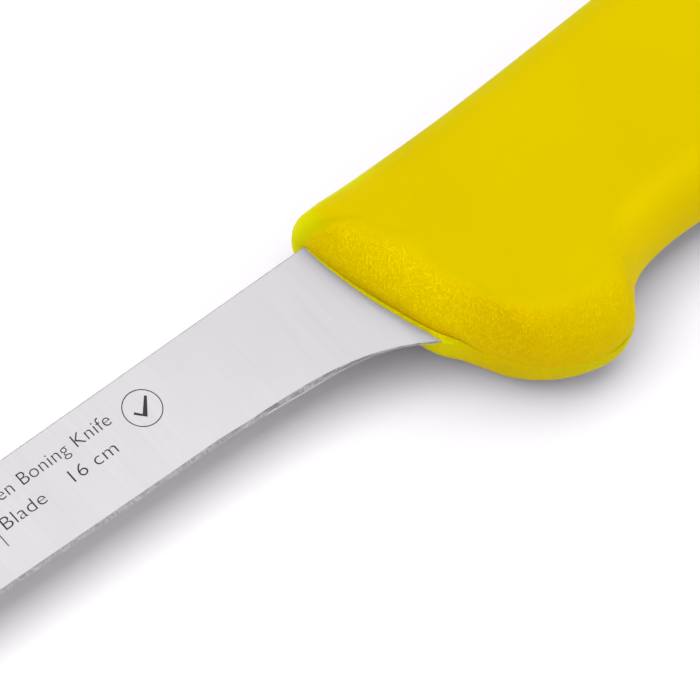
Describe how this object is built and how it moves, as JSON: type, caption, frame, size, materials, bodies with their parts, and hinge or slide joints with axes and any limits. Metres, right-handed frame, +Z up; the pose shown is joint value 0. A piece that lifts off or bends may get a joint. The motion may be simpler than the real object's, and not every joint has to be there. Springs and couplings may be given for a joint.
{
  "type": "boning knife",
  "caption": "Boning knife: narrow straight blade with a curved heel, and a tang held in a moulded plastic handle with a finger guard, a finger groove and a hooked butt.",
  "frame": {"origin": "middle of the knife's bounding box in X and Y, on the flat side of the handle that the knife lies on", "axes": "knife lying on its side: -X towards the tip, +X towards the butt, +Y towards the blade's back, +Z up through the blade's thickness"},
  "size_m": [0.2963, 0.0388, 0.017],
  "materials": {
    "blade_steel": "satin, ground across the blade",
    "handle_plastic": "finely grained moulded polypropylene, yellow"
  },
  "bodies": {
    "root": {"blade": "blade_steel", "handle": "handle_plastic"}
  },
  "joints": []
}
